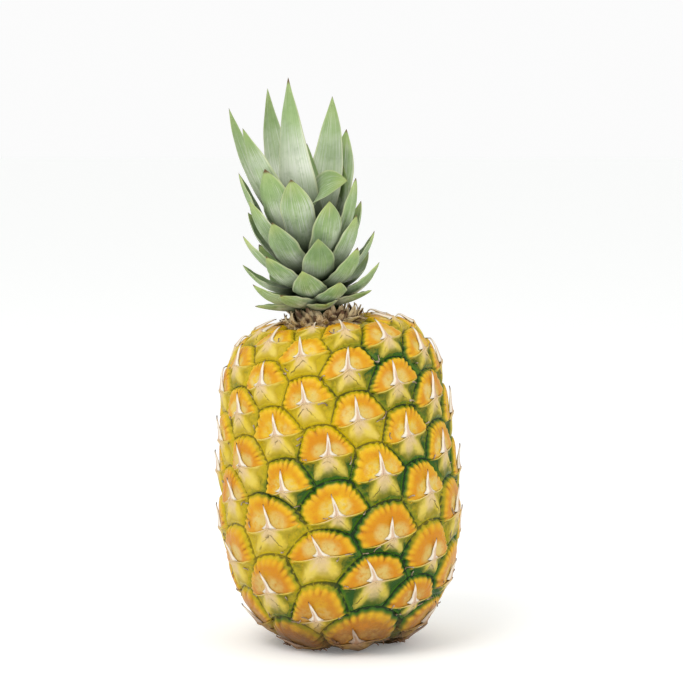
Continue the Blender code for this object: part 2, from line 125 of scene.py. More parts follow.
def on_fruit(angle, along, raised):
    """The outline's point at a length along it, pushed out by raised along the outline's normal,
    turned by angle round the axis, leaned, and never below the foot."""
    radius = np.interp(along, ALONG, RADIUS)
    height = np.interp(along, ALONG, HEIGHT)
    ahead, behind = along + NORMAL_REACH, along - NORMAL_REACH
    out = np.interp(ahead, ALONG, HEIGHT) - np.interp(behind, ALONG, HEIGHT)
    up = np.interp(behind, ALONG, RADIUS) - np.interp(ahead, ALONG, RADIUS)
    size = np.hypot(out, up)
    radius = radius + raised * out / size
    height = height + raised * up / size
    spots = leaned(np.stack([radius * np.sin(angle), -radius * np.cos(angle), height], -1))
    spots[..., 2] = spots[..., 2].clip(0)
    return spots


def eye_places():
    """Angle and length along of every eye: whorls of three, each turned by WHORL_TURN and a step
    lower than the one above, with a small slip for each of six gentle spirals."""
    places = []
    for direction in (1, -1):
        along, whorl = FRONT_EYE_ALONG, 0
        while LOWEST_EYE_ALONG < along < ALONG[-1] - HIGHEST_EYE_GAP:
            if direction == 1 or whorl != 0:
                odd = whorl % 2
                for place in range(EYES_A_WHORL):
                    spiral = (place + whorl // 2 - odd) % EYES_A_WHORL + odd * EYES_A_WHORL
                    turn = WHORL_TURN * whorl + 2 * math.pi * place / EYES_A_WHORL
                    places.append((FRONT_EYE_ANGLE + turn + SPIRAL_SLIPS[spiral], along))
            step = WHORL_STEP_AT_FOOT - WHORL_STEP_LOSS * np.interp(along, ALONG, HEIGHT)
            along -= direction * step
            whorl += direction
    return np.array(places)


def near(angle, centre):
    """The same angle, within half a turn of the centre's."""
    return centre + (angle - centre + math.pi) % (2 * math.pi) - math.pi


def grooves_round(eyes):
    """The stretches of groove round each eye, as arrays of eye number, first corner and last corner.
    A corner is the mean of three neighbours, which are a face of the hull of all eyes once the
    barrel is mapped to a globe that keeps small shapes: latitude = 2 atan(tanh(stretch / 2)), with
    stretch the sum of step / radius along the outline. A ring of blanks closes the net at each
    end."""
    blanks = []
    half = len(RADIUS) // 2
    for along in (
        np.interp(BLANK_RING_RADIUS, RADIUS[:half], ALONG[:half]),
        np.interp(-BLANK_RING_RADIUS, -RADIUS[half:], ALONG[half:]),
    ):
        blanks += [(2 * math.pi * k / BLANKS_A_RING, along) for k in range(BLANKS_A_RING)]
    places = np.vstack([eyes, blanks])
    step = np.diff(ALONG) / np.maximum((RADIUS[1:] + RADIUS[:-1]) / 2, NORMAL_REACH)
    stretch = np.concatenate([[0], np.cumsum(step)])
    stretch -= np.interp(WAIST_HEIGHT, HEIGHT, stretch)
    latitude = 2 * np.arctan(np.tanh(np.interp(places[:, 1], ALONG, stretch) / 2))
    out = np.cos(latitude)
    globe = np.stack([out * np.sin(places[:, 0]), -out * np.cos(places[:, 0]), np.sin(latitude)], -1)
    hull = bmesh.new()
    for spot in globe:
        hull.verts.new(spot)
    hull.verts.ensure_lookup_table()
    hull.verts.index_update()
    bmesh.ops.convex_hull(hull, input=hull.verts[:])
    bmesh.ops.triangulate(hull, faces=hull.faces[:])
    threes = np.array([[vert.index for vert in face.verts] for face in hull.faces])
    hull.free()
    around, over = places[threes, 0], places[threes, 1]
    angle = near(around, around[:, :1]).mean(1)
    along = over.mean(1)
    numbers, firsts, lasts = [], [], []
    for eye in range(len(eyes)):
        faces = np.nonzero((threes == eye).any(1))[0]
        corners = np.stack([near(angle[faces], eyes[eye, 0]), along[faces]], -1)
        ahead = corners - eyes[eye]
        ahead[:, 0] *= np.interp(eyes[eye, 1], ALONG, RADIUS)
        corners = corners[np.argsort(np.arctan2(ahead[:, 1], ahead[:, 0]))]
        numbers += [eye] * len(corners)
        firsts.append(corners)
        lasts.append(np.roll(corners, -1, axis=0))
    return np.array(numbers), np.vstack(firsts), np.vstack(lasts)


EYES = eye_places()
EYE_AT, GROOVE_FROM, GROOVE_TO = grooves_round(EYES)
EYE_RADIUS = np.interp(EYES[:, 1], ALONG, RADIUS)


def groove_line(share):
    """Points of every stretch of groove at shares 0 to 1 of its length: straight from corner to
    corner, plus an upward arch GROOVE_ARCH * 4 s (1 - s) times how far it runs sideways."""
    share = share[None, :]
    angle = GROOVE_FROM[:, :1] + (GROOVE_TO - GROOVE_FROM)[:, :1] * share
    along = GROOVE_FROM[:, 1:] + (GROOVE_TO - GROOVE_FROM)[:, 1:] * share
    middle = (GROOVE_FROM[:, 1] + GROOVE_TO[:, 1]) / 2
    sideways = np.abs(GROOVE_TO[:, 0] - GROOVE_FROM[:, 0]) * np.interp(middle, ALONG, RADIUS)
    return angle, along + GROOVE_ARCH * 4 * share * (1 - share) * sideways[:, None]


def eye_sizes():
    """The mean distance from each eye to its groove's corners and middles, in metres."""
    angle, along = groove_line(np.array([0.0, 0.5]))
    across = (angle - EYES[EYE_AT, :1]) * EYE_RADIUS[EYE_AT, None]
    reach = np.hypot(across, along - EYES[EYE_AT, 1:]).mean(1)
    return np.bincount(EYE_AT, reach) / np.bincount(EYE_AT)


EYE_SIZE = eye_sizes()
EYE_FULLNESS = np.minimum(1, EYE_SIZE / EYE_RADIUS_AT_FULL_HEIGHT)
EYE_LUCK = np.random.RandomState(SEED).rand(len(EYES))


def smooth(value, low, high):
    """0 below low, 1 above high, and 3 t^2 - 2 t^3 between."""
    t = ((value - low) / (high - low)).clip(0, 1)
    return t * t * (3 - 2 * t)


def above_wings(across, aside, over):
    """How far a point lies above the upper edges of the bract's wings: one straight line through
    the eye that tilts, and droops to both sides."""
    return over - across * WING_TILT + aside * WING_DROOP


def frilled(direction, luck, sine, cosine):
    """The arch's frill, 0 on a crest and 1 in a crease: (1 - cos wave) / 2 with FRILLS waves a turn,
    bunched by 2.2 sin(3 direction), and as deep as 0.65 + 0.35 sin(5 direction)."""
    wave = direction * FRILLS + 2.2 * sine(direction * 3 + luck * 20) + luck * 9
    return (0.5 - 0.5 * cosine(wave)) * (0.65 + 0.35 * sine(direction * 5 + luck * 13))


def eye_relief(across, over, share, luck):
    """How high the skin stands, as a share of an eye's height. across and over are in eye sizes,
    share is 0 at the eye's middle and 1 in its groove. A pillow sqrt(1 - reach^7), where reach is
    share or, in far corners, distance / CORNER_REACH. Above the wings is the fan, with a frilled
    step down at the arch, ribs towards it and a dish on each side of the spine; below them the skin
    is lower, with a hollow on each side."""
    frill = frilled(np.arctan2(over - FRILL_HUB, across), luck, np.sin, np.cos)
    fan = smooth(above_wings(across, np.abs(across), over), -0.24, -0.08)
    reach = np.maximum(share, np.hypot(across, over * EYE_SQUATNESS) / CORNER_REACH)
    reach = (reach + FRILL_BITE * frill * fan).clip(0, 1)
    pillow = np.sqrt((1 - reach**7).clip(0, 1)) * (1 - 0.4 * fan * smooth(reach, 0.87, 0.96))
    rib = 0.15 * frill * fan * smooth(share, 0.6, 0.86)
    dish = 0.30 * np.exp(-(((np.abs(across) - 0.22) / 0.24) ** 2) - ((over - 0.12) / 0.26) ** 2)
    hollow = 0.55 * np.exp(-(((np.abs(across) - 0.72) / 0.22) ** 2) - ((over + 0.42) / 0.24) ** 2)
    lump = 0.07 * np.sin(5.1 * across + 7 * luck) * np.sin(4.3 * over + 5 * luck + 1)
    return pillow * (1.06 - rib - dish - 0.28 * (1 - fan) - hollow * (1 - fan) + lump)


def sheet_triangles(rows, columns):
    """Triangles of a grid of rows by columns of points, numbered row by row."""
    corner = (np.arange(rows - 1)[:, None] * columns + np.arange(columns - 1)).ravel()
    first = np.stack([corner, corner + 1, corner + columns + 1], -1)
    last = np.stack([corner, corner + columns + 1, corner + columns], -1)
    return np.vstack([first, last])


def sheet(points, **values):
    """A grid of points as a plain list of them, with its triangles and the values at their corners.
    Values come as a grid too, as one number a column, or as one number for all."""
    rows, columns = points.shape[:2]
    triangles = sheet_triangles(rows, columns)
    corners = {}
    for name, given in values.items():
        spread = np.broadcast_to(given, (rows, columns, *np.shape(given)[2:]))
        corners[name] = spread.reshape(rows * columns, *spread.shape[2:])[triangles]
    return points.reshape(-1, 3), triangles, corners


def together(x, y, z):
    """Three numbers for every point of a grid, each from a grid, a row, a column or one number."""
    return np.stack(np.broadcast_arrays(x, y, z), -1)


def welded(points, triangles, corners):
    """Joins points that coincide within a micrometre, and drops the triangles that this closes up.
    corners holds values at each triangle's corners, which stay in step."""
    _, first, number = np.unique(
        np.round(points * 1e6).astype(np.int64), axis=0, return_index=True, return_inverse=True
    )
    triangles = number.reshape(-1)[triangles]
    whole = (triangles != np.roll(triangles, 1, axis=1)).all(1)
    return points[first], triangles[whole], {name: c[whole] for name, c in corners.items()}


def make_piece(name, points, triangles, corners):
    """A smooth-shaded object from arrays, with one attribute for each set of corner values: a
    vector where there are three, a number where there is one."""
    mesh = bpy.data.meshes.new(name)
    mesh.vertices.add(len(points))
    mesh.vertices.foreach_set("co", points.astype(np.float32).ravel())
    mesh.loops.add(triangles.size)
    mesh.loops.foreach_set("vertex_index", triangles.astype(np.int32).ravel())
    mesh.polygons.add(len(triangles))
    mesh.polygons.foreach_set("loop_start", np.arange(0, triangles.size, 3, dtype=np.int32))
    mesh.polygons.foreach_set("use_smooth", np.ones(len(triangles), bool))
    mesh.update(calc_edges=True)
    for attribute, values in corners.items():
        if values.ndim == 3:
            layer = mesh.attributes.new(attribute, "FLOAT_VECTOR", "CORNER")
            layer.data.foreach_set("vector", values.astype(np.float32).ravel())
        else:
            layer = mesh.attributes.new(attribute, "FLOAT", "CORNER")
            layer.data.foreach_set("value", values.astype(np.float32).ravel())
    mesh.validate()
    thing = bpy.data.objects.new(name, mesh)
    bpy.context.scene.collection.objects.link(thing)
    return thing


def eye_skin():
    """Every stretch of groove and its eye span a wedge: point (s, t) is eye + s * (groove(t) - eye),
    raised by the eye's relief. Neighbours share their groove's points, so the wedges weld."""
    line_angle, line_along = groove_line(np.linspace(0, 1, GROOVE_STEPS + 1))
    eye = EYES[EYE_AT][:, :, None, None]
    share = EYE_RINGS[None, :, None]
    angle = eye[:, 0] + share * (line_angle[:, None, :] - eye[:, 0])
    along = eye[:, 1] + share * (line_along[:, None, :] - eye[:, 1])
    size, luck, radius, fullness = (
        values[EYE_AT][:, None, None] for values in (EYE_SIZE, EYE_LUCK, EYE_RADIUS, EYE_FULLNESS)
    )
    across = (angle - eye[:, 0]) * radius / size
    over = (along - eye[:, 1]) / size
    raised = EYE_HEIGHT * fullness * eye_relief(across, over, share, luck)
    points = on_fruit(angle, along, raised)
    wedge = sheet_triangles(len(EYE_RINGS), GROOVE_STEPS + 1)
    first = np.arange(len(EYE_AT)) * len(EYE_RINGS) * (GROOVE_STEPS + 1)
    triangles = (wedge[None] + first[:, None, None]).reshape(-1, 3)
    local = together(across, over, share).reshape(-1, 3)
    luck = np.broadcast_to(luck, angle.shape).ravel()
    return welded(points.reshape(-1, 3), triangles, {"eye": local[triangles], "luck": luck[triangles]})


def neck_frame():
    """Where the neck stands on the leaning fruit, with its own Z along the fruit's axis there."""
    place = Vector(leaned((NECK_SHIFT, 0, HEIGHT[-1])))
    return Matrix.Translation(place) @ Matrix.Rotation(-LEAN_AT_TOP, 4, "Y")


def moved(points, place):
    """Points of any array shape, carried by a 4x4 place."""
    matrix = np.array(place)
    return points @ matrix[:3, :3].T + matrix[:3, 3]


def end_cap(rim, place, radius, floor_height):
    """Closes an end of the skin: rings of points from its rim, at END_RINGS of the way, to the mouth
    of a round socket, then down the socket's wall and to the middle of its floor. All of it has the
    colour of one spot low in an eye, near its groove."""
    ahead = rim - np.array(place.translation)
    direction = np.arctan2(ahead[:, 0], ahead[:, 1])
    order = np.argsort(direction)
    rim, direction = rim[order], direction[order]
    circle = together(np.sin(direction), np.cos(direction), 0.0)
    floor = np.array([0, 0, floor_height])
    socket = moved(np.stack([circle * radius, circle * radius + floor, 0 * circle + floor]), place)
    way = END_RINGS[:, None, None]
    rings = np.concatenate([rim * (1 - way) + socket[0] * way, socket[1:]])
    rings = np.concatenate([rings, rings[:, :1]], 1)
    return sheet(rings, eye=np.full(rings.shape, END_EYE_SPOT), luck=0.5)


def closed_skin():
    """The eyes' skin with its foot and top closed round the stalk's and the neck's sockets."""
    points, triangles, corners = eye_skin()
    sides = np.concatenate([triangles[:, [0, 1]], triangles[:, [1, 2]], triangles[:, [2, 0]]])
    sides, times = np.unique(np.sort(sides, 1), axis=0, return_counts=True)
    rim = points[np.unique(sides[times == 1])]
    low = rim[:, 2] < WAIST_HEIGHT
    foot = end_cap(rim[low], Matrix(), SOCKET_RADIUS, SOCKET_DEPTH)
    top = end_cap(rim[~low], neck_frame(), NECK_SOCKET_RADIUS, -NECK_SOCKET_DEPTH)
    return joined([(points, triangles, corners), foot, top])


def joined(parts):
    """Several sets of points, triangles and corner values as one, welded."""
    counts = np.cumsum([0] + [len(points) for points, _, _ in parts[:-1]])
    points = np.concatenate([points for points, _, _ in parts])
    triangles = np.concatenate([t + first for first, (_, t, _) in zip(counts, parts)])
    corners = {
        name: np.concatenate([values[name] for _, _, values in parts]) for name in parts[0][2]
    }
    return welded(points, triangles, corners)


def turned_outward(points, triangles, corners, inside):
    """The same triangles, all wound so that they face away from a point inside."""
    a, b, c = (points[triangles[:, k]] for k in range(3))
    if (np.cross(b - a, c - a) * (a - inside)).sum() < 0:
        triangles = triangles[:, ::-1]
        corners = {name: values[:, ::-1] for name, values in corners.items()}
    return points, triangles, corners


SKIN_SPECULAR_LEVEL = 0.22
PAINT_STRENGTH = 0.80


class Wire:
    """A value that changes over the surface. Arithmetic on wires adds Math nodes."""

    def __init__(self, finish, socket):
        self.finish, self.socket = finish, socket

    def __add__(self, other):
        return self.finish.maths("ADD", self, other)

    def __sub__(self, other):
        return self.finish.maths("SUBTRACT", self, other)

    def __rsub__(self, other):
        return self.finish.maths("SUBTRACT", other, self)

    def __mul__(self, other):
        return self.finish.maths("MULTIPLY", self, other)

    def __truediv__(self, other):
        return self.finish.maths("DIVIDE", self, other)

    def __pow__(self, power):
        return self.finish.maths("POWER", self, power)

    __radd__, __rmul__ = __add__, __mul__


class Finish:
    """One material: its nodes, its shader, and the patterns that its colours are mixed with. Plant
    skin throws back little light at its very surface, so its specular level is low."""

    def __init__(self, name, **settings):
        self.material = bpy.data.materials.new(name)
        self.material.use_nodes = True
        self.tree = self.material.node_tree
        self.shader = self.tree.nodes["Principled BSDF"]
        self.shader.inputs["Specular IOR Level"].default_value = SKIN_SPECULAR_LEVEL
        for socket, value in settings.items():
            self.input(socket).default_value = value

    def input(self, name):
        """The shader's socket for a name such as base_color."""
        return self.shader.inputs[name.replace("_", " ").title()]

    def node(self, kind, settings, values, output=0):
        """A node with its settings made first, then its sockets set or linked; returns one output."""
        made = self.tree.nodes.new(kind)
        for setting, value in settings.items():
            setattr(made, setting, value)
        for socket, value in values.items():
            if isinstance(value, Wire):
                self.tree.links.new(value.socket, made.inputs[socket])
            else:
                made.inputs[socket].default_value = value
        return Wire(self, made.outputs[output])

    def feed(self, **wires):
        """Links wires to the shader's sockets."""
        for socket, wire in wires.items():
            self.tree.links.new(wire.socket, self.input(socket))

    def maths(self, operation, *values):
        return self.node("ShaderNodeMath", {"operation": operation}, dict(enumerate(values)))

    def apart(self, vector):
        """The three numbers of a vector."""
        return [self.node("ShaderNodeSeparateXYZ", {}, {0: vector}, k) for k in range(3)]

    def numbers(self, attribute):
        """The three numbers of a vector attribute."""
        return self.apart(self.node("ShaderNodeAttribute", {"attribute_name": attribute}, {}, "Vector"))

    def number(self, attribute):
        return self.node("ShaderNodeAttribute", {"attribute_name": attribute}, {}, "Fac")

    def place(self):
        """Object coordinates, in metres."""
        return self.node("ShaderNodeTexCoord", {}, {}, "Object")

    def stretched(self, x, y, z):
        return self.node("ShaderNodeCombineXYZ", {}, {0: x, 1: y, 2: z})

    def noise(self, where, scale, detail):
        return self.node("ShaderNodeTexNoise", {}, {"Vector": where, "Scale": scale, "Detail": detail})

    def step(self, value, low, high):
        """0 below low, 1 above high, smooth between."""
        settings = {"interpolation_type": "SMOOTHSTEP"}
        return self.node("ShaderNodeMapRange", settings, {0: value, 1: low, 2: high})

    def mix(self, first, second, share):
        """A colour that goes from first to second as share goes from 0 to 1."""
        return self.node("ShaderNodeMix", {"data_type": "RGBA"}, {0: share, 6: first, 7: second}, 2)

    def bump(self, height, distance):
        return self.node("ShaderNodeBump", {}, {"Height": height, "Distance": distance})


def paint(red, green, blue):
    """A colour as the eye reads it, 0 to 255, turned to the linear colour that a shader takes, and
    a fifth darker, since the studio's light is brighter than paper white."""
    tone = np.array([red, green, blue]) / 255
    linear = np.where(tone > 0.04045, ((tone + 0.055) / 1.055) ** 2.4, tone / 12.92)
    return (*(PAINT_STRENGTH * linear).tolist(), 1.0)


def greener(finish, where):
    """0 on the side of the fruit that ripened first, 1 low on its right, where it is still green."""
    x, _, z = finish.apart(where)
    drift = finish.noise(where, 22.0, 2.0)
    return finish.step(x * 6.0 - z * 3.0 + drift * 2.4, 0.35, 1.75)


def rind_finish():
    """Yellow to orange on the fan, with pale cheeks by the spine, brown ribs and bright crests at the
    frill; olive to green below the wings; a green edge and a dark line in the groove, the line partly the
    groove's own dark green and partly painted shade; browner low down and brown, dry and dark at the foot,
    partly dried skin and partly painted shade. The fan is yellower towards the top, partly from ripening
    and partly as painted light."""
    finish = Finish("ripe_rind", roughness=0.46)
    across, over, share = finish.numbers("eye")
    luck = finish.number("luck")
    where = finish.place()
    green = greener(finish, where)
    patch = finish.noise(where, 75.0, 3.0)
    fine = finish.noise(where, 420.0, 3.0)
    speck = finish.noise(where, 1400.0, 2.0)
    height = finish.apart(where)[2]

    direction = finish.maths("ARCTAN2", over - FRILL_HUB, across)
    frill = frilled(direction, luck, partial(finish.maths, "SINE"), partial(finish.maths, "COSINE"))
    aside = finish.maths("ABSOLUTE", across)
    fan = finish.step(above_wings(across, aside, over), -0.17, -0.09)
    distance = (across * across + over * over * EYE_SQUATNESS**2) ** 0.5
    reach = finish.maths("MAXIMUM", share, distance / CORNER_REACH) + frill * FRILL_BITE * fan

    # Orange lower on the fruit and yellower towards the top: partly the way the fruit ripens, partly
    # painted light for the better lit top.
    warm = patch * 1.5 + luck * 0.55 - height * 3.4 - 0.12
    flesh = finish.mix(paint(247, 206, 28), paint(218, 148, 10), finish.step(warm, 0.05, 1.0))
    cheek = finish.step(share + (patch - 0.5) * 0.3, 0.3, 0.62) * (1 - finish.step(share, 0.7, 0.88))
    flesh = finish.mix(flesh, paint(222, 140, 8), cheek * 0.55)
    side = (aside - 0.25) ** 2.0 + (over - 0.12) ** 2.0 + (patch - 0.5) * 0.22
    pale = (1 - finish.step(side, 0.0, 0.14)) * finish.step(fine + luck * 0.2, 0.3, 0.7)
    flesh = finish.mix(flesh, finish.mix(paint(244, 216, 148), paint(214, 200, 92), patch), pale * 0.75)
    blotch = finish.step(finish.noise(where, 260.0, 3.0) + share * 0.15, 0.52, 0.72)
    flesh = finish.mix(flesh, paint(220, 136, 4), blotch * (0.45 - pale * 0.4))
    # Browner and duller low on the fruit: partly drier skin, partly painted shade where the fruit curves
    # under towards the floor.
    low = 1 - finish.step(height + fine * (20 * MM), 24 * MM, 62 * MM)
    flesh = finish.mix(flesh, paint(184, 116, 44), low * 0.6)
    rib = frill ** 5.0 * finish.step(share, 0.58, 0.86) * finish.step(fine, 0.25, 0.55)
    flesh = finish.mix(flesh, paint(140, 88, 8), rib * 0.8)
    crest = (1 - frill) * finish.step(share, 0.62, 0.82)
    flesh = finish.mix(flesh, paint(244, 200, 30), crest * 0.6)
    flesh = finish.mix(flesh, paint(160, 100, 36), finish.step(speck, 0.62, 0.78) * 0.45)

    hollow = finish.mix(paint(206, 178, 14), paint(40, 84, 10), finish.step(green + fine * 0.8, 0.4, 1.2))
    colour = finish.mix(hollow, flesh, fan)
    edge = finish.mix(paint(214, 188, 14), paint(64, 112, 12), finish.step(green + fine * 0.6, 0.3, 1.1))
    colour = finish.mix(colour, edge, finish.step(reach, 0.84, 0.95))
    # Painted shade in the groove: a dark olive to dark green line along each fan's arch and down the
    # groove, partly the groove's own dark green and partly the shadow that the fan's step throws.
    floor = finish.mix(paint(112, 96, 8), paint(14, 44, 8), finish.step(green + fine * 0.5, 0.2, 0.85))
    groove_shade = finish.step(reach, 0.945, 0.985) * fan * finish.step(share, 0.86, 0.92)
    groove_shade = finish.maths("MAXIMUM", groove_shade, finish.step(share, 0.965, 1.0))
    groove_shade = groove_shade * finish.step(fine, 0.26, 0.48)
    colour = finish.mix(colour, floor, groove_shade * (green * 0.25 + 0.7))
    # Brown and dark at the foot: dried skin, and painted shade where the fruit curves under onto the
    # floor.
    foot = 1 - finish.step(height + (patch + fine) * (16 * MM), 18 * MM, 40 * MM)
    colour = finish.mix(colour, finish.mix(paint(134, 88, 44), paint(36, 22, 12), fine), foot * 0.9)
    finish.feed(
        base_color=colour,
        roughness=fine * 0.3 + 0.26,
        normal=finish.bump(fine * 0.7 + speck * 0.3 - rib * 0.6, 0.5 * MM),
    )
    return finish.material


inside_fruit = np.array([0.0, 0.0, WAIST_HEIGHT])
rind = make_piece("rind", *turned_outward(*closed_skin(), inside_fruit))
rind.data.materials.append(rind_finish())
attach(rind, "root")
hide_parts("fruit")

# The bracts: under each eye grows a small leaf whose fleshy base lies over the eye's lower half as a
# pale star, with a wing to each side and two lobes below. Its dry, folded tip stands off the eye as
# a pinkish white spine, and small shreds of dry skin peel off round it.

BRACT_HUB = -0.06
BRACT_THICKNESS = 0.5 * MM
BRACT_LIFT = 0.55 * MM
BRACT_HUB_RISE = 0.9 * MM
BRACT_EDGE_SINK = 0.12 * MM
BRACT_TURNS = 28
BRACT_RINGS = np.array([0.0, 0.1, 0.22, 0.36, 0.5, 0.64, 0.78, 0.9, 1.0])
WING_DROPS = np.arctan([WING_DROOP + WING_TILT, WING_DROOP - WING_TILT])
WING_SWAY = math.radians(4)
WING_SAG = 0.08
STAR_SHARES = [0.0, 0.2, 0.42, 0.58, 0.75, 0.88, 1.0]
STAR_REACH = [1.0, 0.9, 0.99, 0.84, 0.66, 0.80, 1.0]
SPINE_LENGTH = 13.2 * MM
SPINE_STANDOFF = 2.4 * MM
SPINE_HALF_WIDTH = 1.6 * MM
SPINE_FOOT = 2.7 * MM
SPINE_RIDGE = 1.3 * MM
SPINE_LIFT = 0.45 * MM
SPINE_NOTCH = 0.6 * MM
SPINE_SWAY = 0.18
SPINE_LEAN_AT_FOOT = 0.22
SHREDS_AN_EYE = 2
MORE_SHREDS_AT_FOOT = 10
SHRED_LIFT = 0.4 * MM
SHRED_CROWN = 0.2 * MM
BRACT_CLEARANCE = 0.6 * MM
DRY_SKIN = 2.0


def groove_reach(eye, direction, hub):
    """How far the groove is from a hub over the eye's middle, in each direction, in eye sizes."""
    angle, along = groove_line(np.linspace(0, 1, GROOVE_STEPS + 1)[:-1])
    own = EYE_AT == eye
    across = ((angle[own] - EYES[eye, 0]) * EYE_RADIUS[eye] / EYE_SIZE[eye]).ravel()
    over = ((along[own] - EYES[eye, 1]) / EYE_SIZE[eye]).ravel() - hub
    return np.interp(direction, np.arctan2(over, across), np.hypot(across, over), period=2 * math.pi)


def skin_height(eye, across, over):
    """The rind's relief under any point of an eye, as a share of the eye's height."""
    reach = groove_reach(eye, np.arctan2(over, across), 0.0)
    share = (np.hypot(across, over) / reach).clip(0, 1)
    return eye_relief(across, over, share, EYE_LUCK[eye])


def on_eye(eye, across, over, lift):
    """A point given across and over an eye's middle in eye sizes, lifted off the rind there."""
    raised = EYE_HEIGHT * EYE_FULLNESS[eye] * skin_height(eye, across, over) + lift
    angle = EYES[eye, 0] + across * EYE_SIZE[eye] / EYE_RADIUS[eye]
    return on_fruit(angle, EYES[eye, 1] + over * EYE_SIZE[eye], raised)


def star_sheet(eye, draw):
    """The bract's base: rays from a hub under the spine, turning from the left wing over straight
    down to the right wing. A ray's length is the groove's distance times a star's reach, which is
    long at the wings and the two lobes and short between. It thins towards the groove, and stands
    up along its arms and its upper edge, which sags by WING_SAG * sin(pi ring)."""
    wings = math.pi / 2 - WING_DROPS + draw.uniform(-WING_SWAY, WING_SWAY, 2)
    down = np.linspace(-wings[0], wings[1], BRACT_TURNS)[None, :]
    turned = np.abs(down) / np.where(down < 0, wings[0], wings[1])
    ring = BRACT_RINGS[:, None]
    uneven = draw.uniform(-0.05, 0.01, len(STAR_REACH))
    star = np.interp(turned, STAR_SHARES, np.array(STAR_REACH) + uneven)
    direction = down - math.pi / 2
    reach = ring * star * groove_reach(eye, direction, BRACT_HUB)
    lip = np.exp(-(((1 - turned) / 0.10) ** 2))
    across = reach * np.cos(direction)
    over = BRACT_HUB + reach * np.sin(direction) - WING_SAG * lip * np.sin(math.pi * ring)
    arm = np.exp(-(((turned - STAR_SHARES[2]) / 0.2) ** 2))
    lift = BRACT_LIFT * (1 - ring**2.6) * (1 + 0.9 * arm + 0.5 * lip)
    lift = lift + BRACT_HUB_RISE * np.exp(-((ring / 0.24) ** 2)) - BRACT_EDGE_SINK * ring * (1 - lip)
    points = on_eye(eye, across, over, lift * EYE_FULLNESS[eye])
    return points, together(across, over, ring), np.maximum(arm, lip)


def strip(rows, columns):
    """v from 0 to 1 along a strip and a from -1 to 1 across it, as a column and a row."""
    return np.linspace(0, 1, rows)[:, None], np.linspace(-1, 1, columns)[None, :]


def spine_sheet(eye, draw):
    """The bract's tip: width (1 - v)^0.8 with a flare exp(-(v / 0.1)^2) at its foot, folded along
    its middle by ridge * (1 - |a|^1.4), and lifting off the eye as v^1.8 towards its point. Low on
    the fruit it leans to the left."""
    v, a = strip(10, 7)
    size = EYE_FULLNESS[eye]
    length = SPINE_LENGTH * size * draw.uniform(0.82, 1.0)
    low = 1 - smooth(EYES[eye, 1], 90 * MM, 150 * MM)
    lean = draw.uniform(-SPINE_SWAY, SPINE_SWAY) - SPINE_LEAN_AT_FOOT * low
    half = SPINE_HALF_WIDTH * (1 - v) ** 0.8 + SPINE_FOOT * np.exp(-((v / 0.10) ** 2))
    curl = draw.uniform(-1, 1) * 0.5 * MM
    across = (a * half * size + lean * length * v**1.2 + curl * np.sin(3.2 * v)) / EYE_SIZE[eye]
    notch = SPINE_NOTCH * size * (1 - np.abs(a)) * np.exp(-8 * v)
    over = BRACT_HUB + (v * length - notch) / EYE_SIZE[eye]
    fold = SPINE_RIDGE * (1 - v) ** 0.6 * (1 - np.abs(a) ** 1.4)
    stand = SPINE_STANDOFF * v**1.8 * draw.uniform(0.6, 1.0)
    lift = SPINE_LIFT + fold * size + stand * size
    return on_eye(eye, across, over, lift), together(a, v, DRY_SKIN), 0.0


def shred_sheet(eye, draw):
    """A torn shred of dry bract skin: a strip of width 1 - 0.9 v from a spot near the wings or below
    them, whose course turns steadily, lifting off as v^1.5."""
    v, a = strip(6, 3)
    hand = draw.choice([-1, 1])
    size = EYE_FULLNESS[eye]
    spot = draw.uniform(0.25, 0.85) * hand, BRACT_HUB - 0.03 - draw.uniform(0.0, 1.0) ** 2 * 0.75
    length = draw.uniform(1.8, 4.6) * MM * size
    course = draw.uniform(-0.9, 1.1) + draw.uniform(-1.6, 1.6) * v
    half = draw.uniform(0.2, 0.55) * MM * size * (1 - 0.9 * v)
    ahead = [np.cumsum(part * length / (len(v) - 1), 0) for part in (np.cos(course), np.sin(course))]
    across = spot[0] + hand * (ahead[0] - a * half * np.sin(course)) / EYE_SIZE[eye]
    over = spot[1] + (ahead[1] + a * half * np.cos(course)) / EYE_SIZE[eye]
    lift = (SHRED_LIFT + draw.uniform(0.2, 1.3) * MM * v**1.5 + SHRED_CROWN * (1 - a * a)) * size
    return on_eye(eye, across, over, lift), together(a, 0.9 + v * 0.1, DRY_SKIN), 0.0


def make_bracts():
    """Every eye's star, spine and shreds, of which there are more low on the fruit, all lifted clear
    of the floor."""
    draw = np.random.RandomState(SEED + 1)
    parts = []
    for eye in range(len(EYES)):
        low = 1 - smooth(EYES[eye, 1], 50 * MM, 90 * MM)
        shreds = SHREDS_AN_EYE + int(MORE_SHREDS_AT_FOOT * low)
        sheets = [star_sheet(eye, draw), spine_sheet(eye, draw)]
        sheets += [shred_sheet(eye, draw) for _ in range(shreds)]
        for points, values, arm in sheets:
            points[..., 2] = points[..., 2].clip(BRACT_CLEARANCE)
            part = sheet(points, bract=values, arm=arm, luck=EYE_LUCK[eye])
            parts.append(turned_outward(*part, inside_fruit))
    return joined(parts)


